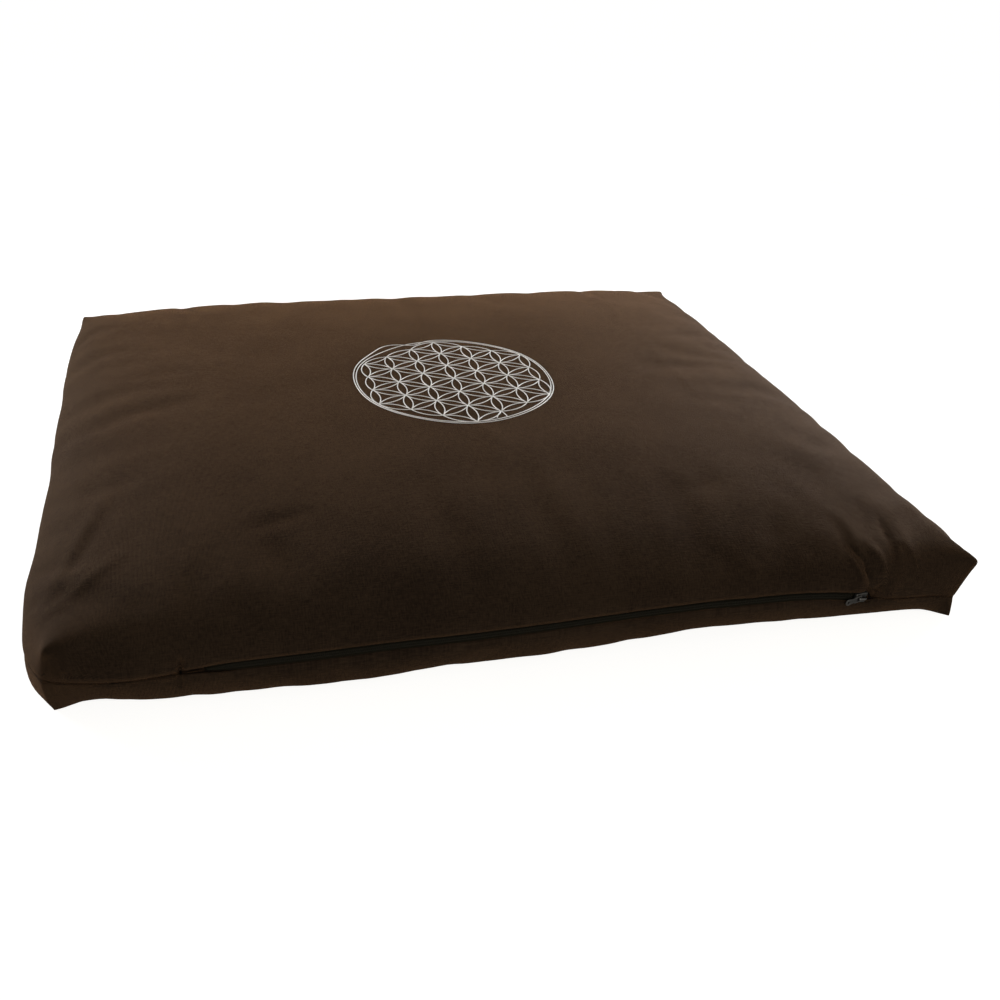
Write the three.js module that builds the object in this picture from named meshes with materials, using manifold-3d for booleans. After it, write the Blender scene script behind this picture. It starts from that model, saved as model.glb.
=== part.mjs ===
// A zabuton: a wide, flat floor cushion in a two-panel cloth cover.
// The top and bottom panels meet in a seam that runs low round the four sides.
// Each corner is boxed: a short upright seam squares it off, and its upper end stands out as a small ear.
// A coil zip with a slider and a pull tab closes the front side.
// Millimetres, +Z up. The front is at -Y, and the origin is on the floor under the middle of the cushion.

import * as THREE from "three";
import { mergeVertices } from "three/addons/utils/BufferGeometryUtils.js";
import Module from "manifold-3d";

const wasm = await Module();
wasm.setup();

// Driving dimensions of the filled cushion
const WIDTH = 786; // ear to ear along the zip side
const DEPTH = 688; // ear to ear from front to back
const THICKNESS = 106; // floor to the top of the crown

// The side halfway between two corners, from the top down
const SIDE = {
  roll: 52, // how far the roll-over reaches in from the widest line
  shoulder: 80, // height where the top starts to roll over
  belly: 53, // height of the widest line
  seam: 41, // height of the seam
  seamTuck: 3, // how far the seam lies inside the widest line
  footTuck: 27, // how far the foot lies inside the widest line
  footLift: 0.8, // height of the foot's edge, where the bottom panel starts to turn up
};

// The bottom lies flat on the floor inside the foot, and its flat part draws in between its four corners
const REST_DRAW = 4;

// The crown rises from the shoulders. The higher the power, the flatter its middle and the steeper its rim.
const CROWN_POWER = 3.1;
// How close to its corner an ear, and the side seam's draw to it, starts: the higher the power, the closer.
// Swells and folds fade out at the upright seams in the same way.
const CORNER_POWER = { ear: 5, seam: 14, fade: 20 };

// The boxed corners: front left, front right, back right and back left. The ear is the upper end of the
// upright seam, the foot is its lower end, and the side seam crosses it in between. In is how far inside the
// plan's corner, and up is above the floor.
const CORNERS = [
  { x: -1, y: -1, earUp: 71, seamUp: 38, seamInX: 4, seamInY: 12, footInX: 5, footInY: 24 },
  { x: 1, y: -1, earUp: 56, seamUp: 19, seamInX: 13, seamInY: 1, footInX: 13, footInY: -2 },
  { x: 1, y: 1, earUp: 66, seamUp: 32, seamInX: 8, seamInY: 8, footInX: 16, footInY: 16 },
  { x: -1, y: 1, earUp: 69, seamUp: 34, seamInX: 2, seamInY: 8, footInX: 10, footInY: 14 },
];

// How far each side bulges past the line from ear to ear, and how evenly along it
const BOWS = { front: 4, right: 0, back: 6, left: 9 };
const BOW_POWER = 4;

// Where a side swells out, from the belly down or low down only, where its seam and its foot rise or dip, and
// where its foot is tucked in further
const SWELLS = [
  { side: "front", at: -335, width: 42, out: 0, low: 0, seam: -5, foot: 0, tuck: 4 },
  { side: "front", at: -360, width: 24, out: 0, low: 0, seam: 0, foot: 0, tuck: 9 },
  { side: "front", at: -170, width: 60, out: 0, low: 0, seam: 0, foot: 0, tuck: -6 },
  { side: "front", at: 105, width: 85, out: 0, low: 0, seam: 3, foot: 0, tuck: 0 },
  { side: "front", at: 150, width: 80, out: 0, low: 0, seam: 0, foot: 9, tuck: 0 },
  { side: "front", at: 342, width: 66, out: 0, low: 0, seam: -15, foot: 0, tuck: 0 },
  { side: "right", at: -190, width: 120, out: -3, low: 0, seam: 0, foot: 0, tuck: 0 },
  { side: "right", at: -315, width: 45, out: 2, low: 0, seam: 0, foot: 0, tuck: 0 },
  { side: "left", at: -250, width: 85, out: 7, low: 0, seam: 0, foot: 0, tuck: 0 },
  { side: "left", at: -316, width: 34, out: 2, low: 7, seam: 0, foot: 0, tuck: -12 },
];

// Soft troughs in the top panel, square to a side. They start at the seam and fade out up the cloth.
const FOLDS = [
  { side: "front", at: 306, width: 9, depth: 7, reach: 80 },
  { side: "front", at: 334, width: 9, depth: 3, reach: 90 },
  { side: "front", at: 213, width: 20, depth: 3.5, reach: 120 },
  { side: "front", at: 150, width: 20, depth: 3, reach: 105 },
  { side: "front", at: 362, width: 14, depth: 2, reach: 90 },
  { side: "front", at: 285, width: 7, depth: -2.5, reach: 70 },
  { side: "front", at: -299, width: 10, depth: 3, reach: 35 },
  { side: "front", at: -130, width: 30, depth: 2.5, reach: 100 },
  { side: "left", at: -190, width: 24, depth: 3, reach: 110 },
  { side: "left", at: -60, width: 26, depth: 2.5, reach: 110 },
  { side: "left", at: 110, width: 24, depth: 2.5, reach: 100 },
  { side: "right", at: -230, width: 26, depth: 3, reach: 120 },
  { side: "right", at: 40, width: 30, depth: 2.5, reach: 110 },
  { side: "back", at: -120, width: 28, depth: 2.5, reach: 100 },
  { side: "back", at: 160, width: 30, depth: 2.5, reach: 100 },
];
const CLOTH_ABOVE_SEAM = 80; // along the cloth, from the seam up to where the top starts
const FOLD_AT_SEAM = 0.3; // the share of a fold's depth that is left at the seam
// Shares of the way down to the seam where its rise or dip starts to show, and where a swell is full
const SEAM_MOVES_FROM = 0.3;
const SWELL_FULL_AT = 0.5;

// Soft creases in the top: the middle, how far the length is turned from +X in degrees, and half the length
// and width. A negative depth is a place where the filling stands higher.
const CREASES = [
  { x: -200, y: -238, turn: -37, length: 42, width: 15, depth: 2.5 },
  { x: -212, y: -284, turn: -62, length: 34, width: 16, depth: 2 },
  { x: -352, y: -196, turn: 70, length: 75, width: 14, depth: 2.5 },
  { x: -340, y: -262, turn: 62, length: 60, width: 14, depth: 2 },
  { x: 318, y: -300, turn: 57, length: 34, width: 11, depth: 3 },
  { x: -230, y: 320, turn: 0, length: 170, width: 80, depth: -6 },
];

// The sewn seam is a fine groove. It opens slowly for the zip's chain, and further for the slider.
const ZIP = { left: -256, right: 303, fadeIn: 36, fadeOut: 6 };
const SLIDER = { left: 286, right: 300, fadeIn: 5, fadeOut: 5, clear: 1 };
const SEWN_GROOVE = { halfGap: 0.9, depth: 1.5 };
const ZIP_GROOVE = { halfGap: 4.4, depth: 3.4 };
const SLIDER_GROOVE = { halfGap: 6, depth: 5.2 };

// The zip's two tapes lie at the back of the groove, each with a coil along its inner edge
const CLEARANCE = 0.3;
const TAPE_THICKNESS = 0.9;
const COIL = { width: 2.3, height: 1.3 };
// The slider's body wraps the coils. Its bridge holds the pull, which lies flat and points left and down.
const SLIDER_BODY = { length: 12.4, nose: 5.6, shoulders: 8.6, shoulderAt: 1.2, notch: 1, thickness: 3.8 };
const SLIDER_BEVEL = 0.5;
const BRIDGE = { length: 8.4, width: 1.8, thickness: 1, room: 1.8 };
const PULL = { length: 16, width: 6.2, waist: 4.6, thickness: 1, bar: 1.2, eye: 3.4, hole: 2.2, rim: 1.6 };
const PULL_LIES = { at: -1.6, turn: -17 };
const ARC_SEGMENTS = 6;

// The grid's columns and rows, finer towards the corners and at the slider
const COLUMNS = [
  { to: ZIP.left - ZIP.fadeIn, cells: 6 },
  { to: ZIP.left, cells: 3 },
  { to: 250, cells: 19 },
  { to: SLIDER.left - SLIDER.fadeIn, cells: 2 },
  { to: SLIDER.left, cells: 1 },
  { to: SLIDER.right, cells: 1 },
  { to: 308, cells: 1 },
  { to: 340, cells: 4 },
  { to: WIDTH / 2, cells: 4 },
];
const ROWS = [
  { to: -230, cells: 7 },
  { to: 264, cells: 17 },
  { to: DEPTH / 2, cells: 5 },
];
const ROLL_RINGS = 5;
const TUCK_RINGS = 2;
const FOOT_RINGS = 4;

const HALF_W = WIDTH / 2;
const HALF_D = DEPTH / 2;
const ORIGIN = new THREE.Vector2();
const FACING = {
  front: new THREE.Vector3(0, -1, 0),
  right: new THREE.Vector3(1, 0, 0),
  back: new THREE.Vector3(0, 1, 0),
  left: new THREE.Vector3(-1, 0, 0),
};

function mix(a, b, share) {
  return a + (b - a) * share;
}

// 0 before one edge, 1 past the other, and a smooth rise between
function ramp(value, from, to) {
  return THREE.MathUtils.smoothstep(value, from, to);
}

// 1 along a stretch of the seam, and 0 a fade away from it
function within(along, { left, right, fadeIn, fadeOut }) {
  return ramp(along, left - fadeIn, left) * (1 - ramp(along, right, right + fadeOut));
}

function bell(offset, width) {
  return Math.exp(-((offset / width) ** 2));
}

function sum(rows, value) {
  return rows.reduce((total, row) => total + value(row), 0);
}

// The grid's stations along one direction, from -1 to 1
function stations(table, half) {
  const found = [-1];
  let from = -half;
  for (const { to, cells } of table) {
    for (let i = 1; i <= cells; i++) found.push(mix(from, to, i / cells) / half);
    from = to;
  }
  return found;
}

// One ring round the side: its place halfway along a side, and its share of the way down the upright seams,
// from 0 at the ears through 1 at the side seam to 2 at the feet
function ring(panel, inset, height, outward, down, lip = 0, sunk = false) {
  return { panel, inset, height, outward, down, lip, sunk };
}

// The rings from the edge of the top down to the floor
function sideRings() {
  const rings = [];
  const topRings = ROLL_RINGS + TUCK_RINGS;
  for (let i = 0; i <= ROLL_RINGS; i++) {
    const angle = ((i / ROLL_RINGS) * Math.PI) / 2;
    const height = mix(SIDE.belly, SIDE.shoulder, Math.cos(angle));
    rings.push(ring("top", SIDE.roll * (1 - Math.sin(angle)), height, Math.sin(angle), i / topRings));
  }
  for (let i = 1; i < TUCK_RINGS; i++) {
    const share = i / TUCK_RINGS;
    const inset = SIDE.seamTuck * share ** 2;
    rings.push(ring("top", inset, mix(SIDE.belly, SIDE.seam, share), 1, (ROLL_RINGS + i) / topRings));
  }
  for (const [lip, sunk] of [[1, false], [1, true], [-1, true], [-1, false]]) {
    rings.push(ring("seam", SIDE.seamTuck, SIDE.seam, 1, 1, lip, sunk));
  }
  for (let i = 1; i <= FOOT_RINGS; i++) {
    const angle = ((i / FOOT_RINGS) * Math.PI) / 2;
    const inset = mix(SIDE.footTuck, SIDE.seamTuck, Math.cos(angle));
    const height = mix(SIDE.footLift, SIDE.seam, 1 - Math.sin(angle));
    rings.push(ring("bottom", inset, height, Math.cos(angle), 1 + i / FOOT_RINGS));
  }
  return rings;
}

const RINGS = sideRings();
const TOP_EDGE = RINGS[0];

// One corner's own measure at a share of the way down its upright seam
function downCorner(corner, key, down) {
  const ear = key === "Up" ? corner.earUp : 0;
  const seam = corner["seam" + key];
  const foot = key === "Up" ? SIDE.footLift : corner["foot" + key];
  return down < 1 ? mix(ear, seam, down) : mix(seam, foot, down - 1);
}

// The same measure at a place on the plan, between the four corners
function betweenCorners(u, v, key, down) {
  return sum(CORNERS, (corner) => {
    const share = ((1 + corner.x * u) / 2) * ((1 + corner.y * v) / 2);
    return share * downCorner(corner, key, down);
  });
}

// The cloth of one ring at a place (u, v) on the plan, each from -1 to 1, before folds and groove
function basePoint(u, v, { panel, inset, height, down }) {
  const power = mix(CORNER_POWER.ear, CORNER_POWER.seam, Math.min(1, down));
  const nearX = Math.abs(u) ** power;
  const nearY = Math.abs(v) ** power;
  const bowX = (u < 0 ? BOWS.left : BOWS.right) * (1 - Math.abs(v) ** BOW_POWER) * u * u;
  const bowY = (v < 0 ? BOWS.front : BOWS.back) * (1 - Math.abs(u) ** BOW_POWER) * v * v;
  const point = new THREE.Vector3(
    u * (HALF_W + bowX - mix(inset, betweenCorners(u, v, "InX", down), nearY)),
    v * (HALF_D + bowY - mix(inset, betweenCorners(u, v, "InY", down), nearX)),
    mix(height, betweenCorners(u, v, "Up", down), nearX * nearY),
  );
  if (panel === "top") {
    const x = Math.min(1, Math.abs(point.x) / HALF_W);
    const y = Math.min(1, Math.abs(point.y) / HALF_D);
    point.z += (THICKNESS - SIDE.shoulder) * (1 - x ** CROWN_POWER) * (1 - y ** CROWN_POWER);
  }
  return point;
}

// Which side a place on the rim belongs to, and how far along it
function sideOf(u, v) {
  if (v === -1) return { side: "front", along: u * HALF_W };
  if (u === 1) return { side: "right", along: v * HALF_D };
  if (v === 1) return { side: "back", along: u * HALF_W };
  return { side: "left", along: v * HALF_D };
}

// How far one kind of swell moves the cloth at a place along a side
function swellSize(side, along, key) {
  return sum(
    SWELLS.filter((row) => row.side === side),
    (row) => row[key] * bell(along - row.at, row.width),
  );
}

// How deep the folds are at a place along a side and a distance up the cloth from the seam
function foldDepth(side, along, upCloth) {
  return sum(
    FOLDS.filter((fold) => fold.side === side),
    (fold) => fold.depth * bell(along - fold.at, fold.width) * (1 - ramp(upCloth, 0, fold.reach)),
  );
}

// How deep the top's creases are at a point of the plan
function creaseDepth(point) {
  return sum(CREASES, ({ x, y, turn, length, width, depth }) => {
    const away = new THREE.Vector2(point.x - x, point.y - y);
    away.rotateAround(ORIGIN, THREE.MathUtils.degToRad(-turn));
    return depth * bell(away.x, length) * bell(away.y, width);
  });
}

// The groove's half gap or depth at a place along a side
function grooveSize(side, along, key) {
  if (side !== "front") return SEWN_GROOVE[key];
  const size = mix(SEWN_GROOVE[key], ZIP_GROOVE[key], within(along, ZIP));
  return mix(size, SLIDER_GROOVE[key], within(along, SLIDER));
}

// A point of the side
function wallPoint(u, v, place) {
  const { panel, height, outward, down, lip, sunk } = place;
  const point = basePoint(u, v, place);
  const { side, along } = sideOf(u, v);
  const facing = FACING[side];
  const offCorner = 1 - Math.abs(u * v) ** CORNER_POWER.fade;
  const seamShare = (down < 1 ? ramp(down, SEAM_MOVES_FROM, 1) : height / SIDE.seam) * offCorner;
  const outShare = ramp(down, 0, SWELL_FULL_AT) * offCorner;
  const lowShare = ramp(down, SWELL_FULL_AT, 1) * offCorner;
  const footShare = Math.max(0, down - 1) * offCorner;
  const swell = (key) => swellSize(side, along, key);
  const swollen = swell("out") * outShare + swell("low") * lowShare - swell("tuck") * footShare;
  point.addScaledVector(facing, swollen);
  point.z += swell("seam") * seamShare + swell("foot") * footShare;
  if (panel === "seam") {
    point.z += lip * grooveSize(side, along, "halfGap");
    if (sunk) point.addScaledVector(facing, -grooveSize(side, along, "depth") * offCorner);
  }
  if (panel !== "bottom") {
    const share = panel === "seam" ? FOLD_AT_SEAM : 1;
    const fold = foldDepth(side, along, CLOTH_ABOVE_SEAM * (1 - down)) * offCorner * share;
    point.addScaledVector(facing, -fold * outward);
    point.z -= (fold + creaseDepth(point)) * (1 - outward);
  }
  return point;
}

// A point of the top inside its edge, with the folds that reach it from the nearest sides
function topPoint(u, v) {
  const point = basePoint(u, v, TOP_EDGE);
  for (const [edgeU, edgeV, inFromEdge] of [
    [u, Math.sign(v) || 1, (1 - Math.abs(v)) * HALF_D],
    [Math.sign(u) || 1, v, (1 - Math.abs(u)) * HALF_W],
  ]) {
    const { side, along } = sideOf(edgeU, edgeV);
    point.z -= foldDepth(side, along, CLOTH_ABOVE_SEAM + inFromEdge);
  }
  point.z -= creaseDepth(point);
  return point;
}

// A point of the bottom's flat part
function bottomPoint(u, v) {
  const halfX = HALF_W - SIDE.footTuck - REST_DRAW * (1 - v * v);
  const halfY = HALF_D - SIDE.footTuck - REST_DRAW * (1 - u * u);
  return new THREE.Vector3(u * halfX, v * halfY, 0);
}

// One closed skin: the top, the rings of the side and the bottom, sharing their edges
function cushionSkin() {
  const us = stations(COLUMNS, HALF_W);
  const vs = stations(ROWS, HALF_D);
  const lastU = us.length - 1;
  const lastV = vs.length - 1;
  const positions = [];
  const faces = [];
  const add = (point) => positions.push(...point) / 3 - 1;
  const quad = (a, b, c, d) => faces.push(a, b, c, a, c, d);

  const loop = [];
  for (let i = 0; i < lastU; i++) loop.push([i, 0]);
  for (let j = 0; j < lastV; j++) loop.push([lastU, j]);
  for (let i = lastU; i > 0; i--) loop.push([i, lastV]);
  for (let j = lastV; j > 0; j--) loop.push([0, j]);
  const rings = RINGS.map((place) => loop.map(([i, j]) => add(wallPoint(us[i], vs[j], place))));
  for (let r = 1; r < rings.length; r++) {
    for (let k = 0; k < loop.length; k++) {
      const next = (k + 1) % loop.length;
      quad(rings[r][k], rings[r][next], rings[r - 1][next], rings[r - 1][k]);
    }
  }

  const fillPanel = (rim, innerPoint, faceDown) => {
    const at = new Map(loop.map((cell, k) => [cell.join(), rim[k]]));
    for (let i = 1; i < lastU; i++) {
      for (let j = 1; j < lastV; j++) at.set([i, j].join(), add(innerPoint(us[i], vs[j])));
    }
    for (let i = 0; i < lastU; i++) {
      for (let j = 0; j < lastV; j++) {
        const cell = [[i, j], [i + 1, j], [i + 1, j + 1], [i, j + 1]].map((c) => at.get(c.join()));
        quad(...(faceDown ? cell.reverse() : cell));
      }
    }
  };
  fillPanel(rings[0], topPoint, false);
  fillPanel(rings[rings.length - 1], bottomPoint, true);

  const geometry = new THREE.BufferGeometry();
  geometry.setAttribute("position", new THREE.Float32BufferAttribute(positions, 3));
  geometry.setIndex(faces);
  return geometry;
}

// The middle of the front's seam at a distance along it
const SEAM_PLACE = { ...RINGS.find(({ panel }) => panel === "seam"), lip: 0, sunk: false };
function seamPoint(along) {
  return wallPoint(along / HALF_W, -1, SEAM_PLACE);
}

// A closed bar through like sections, each a list of points in the same turning order
function barThrough(sections) {
  const corners = sections[0].length;
  const positions = sections.flat().flatMap((point) => [...point]);
  const faces = [];
  for (let s = 1; s < sections.length; s++) {
    for (let k = 0; k < corners; k++) {
      const next = (k + 1) % corners;
      const [a, b] = [(s - 1) * corners + k, (s - 1) * corners + next];
      faces.push(a, b, b + corners, a, b + corners, a + corners);
    }
  }
  const flat = sections[0].map(({ y, z }) => new THREE.Vector2(y, z));
  const lastSection = (sections.length - 1) * corners;
  for (const [a, b, c] of THREE.ShapeUtils.triangulateShape(flat, [])) {
    faces.push(a, c, b, a + lastSection, b + lastSection, c + lastSection);
  }
  const geometry = new THREE.BufferGeometry();
  geometry.setAttribute("position", new THREE.Float32BufferAttribute(positions, 3));
  geometry.setIndex(faces);
  return geometry;
}

// One tape of the zip with its coil. Side is 1 above the seam and -1 below it.
function zipTape(side) {
  const [inner, outer] = [CLEARANCE / 2, ZIP_GROOVE.halfGap - CLEARANCE];
  const back = ZIP_GROOVE.depth - CLEARANCE;
  const front = back - TAPE_THICKNESS;
  const outline = [
    [inner, back],
    [outer, back],
    [outer, front],
    [inner + COIL.width, front],
    [inner + COIL.width, front - COIL.height],
    [inner, front - COIL.height],
  ];
  if (side < 0) outline.reverse();
  const start = ZIP.left;
  const end = SLIDER.left - SLIDER.clear;
  const between = stations(COLUMNS, HALF_W).map((u) => u * HALF_W).filter((x) => x > start && x < end);
  return barThrough(
    [start, ...between, end].map((x) => {
      const middle = seamPoint(x);
      return outline.map(([up, depth]) => middle.clone().add(new THREE.Vector3(0, depth, side * up)));
    }),
  );
}

const MERGE_WITHIN = 1e-4;
function toSolid(geometry) {
  const bare = geometry.clone();
  bare.deleteAttribute("normal");
  bare.deleteAttribute("uv");
  const merged = mergeVertices(bare, MERGE_WITHIN);
  const mesh = new wasm.Mesh({
    numProp: 3,
    vertProperties: merged.attributes.position.array,
    triVerts: new Uint32Array(merged.index.array),
  });
  return new wasm.Manifold(mesh);
}

function fromSolid(solid) {
  const mesh = solid.getMesh();
  const geometry = new THREE.BufferGeometry();
  geometry.setAttribute("position", new THREE.BufferAttribute(mesh.vertProperties, 3));
  geometry.setIndex(new THREE.BufferAttribute(mesh.triVerts, 1));
  return geometry;
}

// The slider's body and the bridge over its face. X runs along the zip, Y into the cushion, Z up,
// with the middle of the body's face at the origin.
function sliderGeometry() {
  const { length, nose, shoulders, shoulderAt, notch, thickness } = SLIDER_BODY;
  const bevel = SLIDER_BEVEL;
  const end = length / 2 - bevel;
  const outline = new THREE.Shape([
    new THREE.Vector2(-end, -nose / 2),
    new THREE.Vector2(shoulderAt, -shoulders / 2),
    new THREE.Vector2(end, -shoulders / 2),
    new THREE.Vector2(end - notch, 0),
    new THREE.Vector2(end, shoulders / 2),
    new THREE.Vector2(shoulderAt, shoulders / 2),
    new THREE.Vector2(-end, nose / 2),
  ]);
  const body = new THREE.ExtrudeGeometry(outline, {
    depth: thickness - 2 * bevel,
    bevelSize: bevel,
    bevelThickness: bevel,
    bevelSegments: 1,
  });
  body.translate(0, 0, -thickness + bevel).rotateX(Math.PI / 2);

  const half = BRIDGE.length / 2;
  const rise = BRIDGE.room + BRIDGE.thickness;
  const arch = new THREE.Shape([
    new THREE.Vector2(-half, -bevel),
    new THREE.Vector2(half, -bevel),
    new THREE.Vector2(half, rise - BRIDGE.thickness / 2),
    new THREE.Vector2(half - BRIDGE.thickness, rise),
    new THREE.Vector2(BRIDGE.thickness - half, rise),
    new THREE.Vector2(-half, rise - BRIDGE.thickness / 2),
  ]);
  const room = half - BRIDGE.thickness;
  arch.holes.push(
    new THREE.Path([
      new THREE.Vector2(-room, 0),
      new THREE.Vector2(-room, BRIDGE.room),
      new THREE.Vector2(room, BRIDGE.room),
      new THREE.Vector2(room, 0),
    ]),
  );
  const bridge = new THREE.ExtrudeGeometry(arch, { depth: BRIDGE.width, bevelEnabled: false });
  bridge.translate(0, 0, -BRIDGE.width / 2).rotateX(Math.PI);
  return fromSolid(toSolid(body).add(toSolid(bridge)));
}

// The pull tab: a flat tongue with an eye round the bridge at one end and a small hole at the other.
// It points along -X from the bar of its eye, and its thickness is along Y.
function pullGeometry() {
  const { length, width, waist, thickness, bar, eye, hole, rim } = PULL;
  const eyeEnd = -eye - 2 * bar;
  const tip = -length + width / 2;
  const outline = new THREE.Shape();
  outline.moveTo(bar / 2, -width / 2);
  outline.lineTo(bar / 2, width / 2);
  outline.lineTo(eyeEnd, width / 2);
  outline.lineTo(eyeEnd - 2 * bar, waist / 2);
  outline.lineTo(tip, width / 2);
  outline.absarc(tip, 0, width / 2, Math.PI / 2, (3 * Math.PI) / 2, false);
  outline.lineTo(eyeEnd - 2 * bar, -waist / 2);
  outline.lineTo(eyeEnd, -width / 2);
  outline.closePath();
  const window = width / 2 - bar;
  outline.holes.push(
    new THREE.Path([
      new THREE.Vector2(-bar / 2, -window),
      new THREE.Vector2(-bar / 2 - eye, -window),
      new THREE.Vector2(-bar / 2 - eye, window),
      new THREE.Vector2(-bar / 2, window),
    ]),
    new THREE.Path().absarc(-length + rim + hole / 2, 0, hole / 2, 0, 2 * Math.PI, true),
  );
  const pull = new THREE.ExtrudeGeometry(outline, {
    depth: thickness,
    bevelEnabled: false,
    curveSegments: ARC_SEGMENTS,
  });
  return pull.translate(0, 0, -thickness / 2).rotateX(Math.PI / 2);
}

// The frame of the slider: X along the zip and Y into the cushion, on the seam's middle line
function placeSlider(object) {
  const [left, right] = [seamPoint(SLIDER.left), seamPoint(SLIDER.right)];
  const along = right.clone().sub(left).normalize();
  const into = new THREE.Vector3(0, 0, 1).cross(along).normalize();
  const up = along.clone().cross(into);
  object.quaternion.setFromRotationMatrix(new THREE.Matrix4().makeBasis(along, into, up));
  object.position.addVectors(left, right).divideScalar(2);
}

function piece(name, geometry, material) {
  const mesh = new THREE.Mesh(geometry, material);
  mesh.name = name;
  return mesh;
}

const cotton = new THREE.MeshStandardMaterial({ color: 0x46382c, roughness: 0.95, metalness: 0 });
const tape = new THREE.MeshStandardMaterial({ color: 0x22241f, roughness: 0.8, metalness: 0 });
const castZinc = new THREE.MeshStandardMaterial({ color: 0x3c3a36, roughness: 0.4, metalness: 0.8 });

const slider = piece("zip_slider", sliderGeometry(), castZinc);
const pull = piece("zip_pull", pullGeometry(), castZinc);
pull.position.set(PULL_LIES.at, -BRIDGE.room / 2, 0);
pull.rotation.y = THREE.MathUtils.degToRad(PULL_LIES.turn);
const sliderAndPull = new THREE.Group();
sliderAndPull.add(slider, pull);
placeSlider(sliderAndPull);

const zabuton = new THREE.Group();
zabuton.add(
  piece("cushion", cushionSkin(), cotton),
  piece("zip_tape_upper", zipTape(1), tape),
  piece("zip_tape_lower", zipTape(-1), tape),
  sliderAndPull,
);
const box = new THREE.Box3().setFromObject(zabuton, true);
zabuton.position.set(-(box.min.x + box.max.x) / 2, -(box.min.y + box.max.y) / 2, 0);

export default zabuton;
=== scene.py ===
# %% [markdown]
# # A zabuton with an embroidered circle pattern
# A zabuton is a wide, flat floor cushion. This one has a dense brown cotton cover sewn from a top and a
# bottom panel, boxed corners with small ears, a coil zip along the front seam, and a round embroidery on
# top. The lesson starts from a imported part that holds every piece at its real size, and dresses it: the
# cloth is loosened by a short cloth simulation, the zip gets its coils, and the embroidery is laid on as
# thread.

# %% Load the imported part
import math
import random
import bmesh
import bpy
import numpy as np
from mathutils import Euler, Matrix, Vector
from mathutils.bvhtree import BVHTree
from mathutils.kdtree import KDTree


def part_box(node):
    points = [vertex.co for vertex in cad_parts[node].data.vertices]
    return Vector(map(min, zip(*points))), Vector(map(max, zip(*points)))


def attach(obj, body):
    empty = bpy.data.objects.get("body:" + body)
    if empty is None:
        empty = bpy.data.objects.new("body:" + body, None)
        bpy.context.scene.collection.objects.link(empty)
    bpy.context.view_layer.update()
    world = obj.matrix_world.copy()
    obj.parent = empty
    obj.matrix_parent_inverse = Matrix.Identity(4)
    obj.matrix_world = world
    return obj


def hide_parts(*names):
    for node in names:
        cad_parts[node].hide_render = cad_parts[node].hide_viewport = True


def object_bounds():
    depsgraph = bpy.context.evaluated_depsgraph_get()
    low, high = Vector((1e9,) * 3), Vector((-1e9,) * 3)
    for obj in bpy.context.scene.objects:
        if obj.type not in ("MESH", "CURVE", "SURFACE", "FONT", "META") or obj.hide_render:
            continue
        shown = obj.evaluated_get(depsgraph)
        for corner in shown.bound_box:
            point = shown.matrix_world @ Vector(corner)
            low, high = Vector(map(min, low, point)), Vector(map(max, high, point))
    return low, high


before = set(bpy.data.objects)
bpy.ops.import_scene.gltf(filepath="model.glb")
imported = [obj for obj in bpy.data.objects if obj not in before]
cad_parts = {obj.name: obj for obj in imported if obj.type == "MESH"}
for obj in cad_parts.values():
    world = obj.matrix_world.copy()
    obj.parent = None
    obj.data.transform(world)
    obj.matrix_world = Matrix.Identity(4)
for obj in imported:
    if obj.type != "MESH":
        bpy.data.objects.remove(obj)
CAD_LOW, CAD_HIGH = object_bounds()
MM = 0.001
print("CAD box in mm:", [round((high - low) / MM) for low, high in zip(CAD_LOW, CAD_HIGH)])

# %% [markdown]
# ## The camera
# The photograph's vanishing lines give the camera's height, direction and lens. Azimuth and elevation say
# where it stands as seen from the cushion, and roll is its small tilt to one side. The picture was cropped
# a little to one side, which is what a lens shift does, so the shift is small and fixed.

# %% Stand the camera where the photographer stood
PHOTO_PIXELS = 1000
FOCAL_PIXELS = 1073.6
CAMERA_AT = Vector((-251.7, -993.9, 560.1)) * MM
AZIMUTH, ELEVATION, ROLL = (math.radians(angle) for angle in (-14.79, 30.23, 2.3))
CROP_SHIFT = 0.05

camera_data = bpy.data.cameras.new("camera")
camera_data.lens = camera_data.sensor_width * FOCAL_PIXELS / PHOTO_PIXELS
camera_data.shift_x = CROP_SHIFT
camera = bpy.data.objects.new("camera", camera_data)
bpy.context.scene.collection.objects.link(camera)
facing = Euler((math.pi / 2 - ELEVATION, 0, AZIMUTH)).to_matrix() @ Matrix.Rotation(ROLL, 3, "Z")
camera.matrix_world = Matrix.Translation(CAMERA_AT) @ facing.to_4x4()
bpy.context.scene.camera = camera
print("lens in mm:", round(camera_data.lens, 1))

# %% [markdown]
# ## Small helpers for materials
# Every colour below is written as a screen colour and turned into the linear value that light is added up
# in. One helper adds a node: its own settings are named arguments, and its inputs are values, or other
# nodes' sockets to link from.

# %% Helpers for colours and nodes
def linear(hex_colour):
    """The linear RGBA of a screen colour such as #35281e."""
    screen = [int(hex_colour[i:i + 2], 16) / 255 for i in (1, 3, 5)]
    return [c / 12.92 if c <= 0.04045 else ((c + 0.055) / 1.055) ** 2.4 for c in screen] + [1]


def add_node(material, kind, inputs=None, **settings):
    """One node of a material, with its settings set and its inputs filled or linked."""
    node = material.node_tree.nodes.new(kind)
    for name, value in settings.items():
        setattr(node, name, value)
    for name, value in (inputs or {}).items():
        if isinstance(value, bpy.types.NodeSocket):
            material.node_tree.links.new(value, node.inputs[name])
        else:
            node.inputs[name].default_value = value
    return node


def new_material(name, **shader):
    """A material with one Principled shader, whose constant values are set on its own sockets."""
    material = bpy.data.materials.new(name)
    material.use_nodes = True
    principled = material.node_tree.nodes["Principled BSDF"]
    for socket, value in shader.items():
        principled.inputs[socket.replace("_", " ")].default_value = value
    return material, principled


def link(material, source, target):
    material.node_tree.links.new(source, target)


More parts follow.
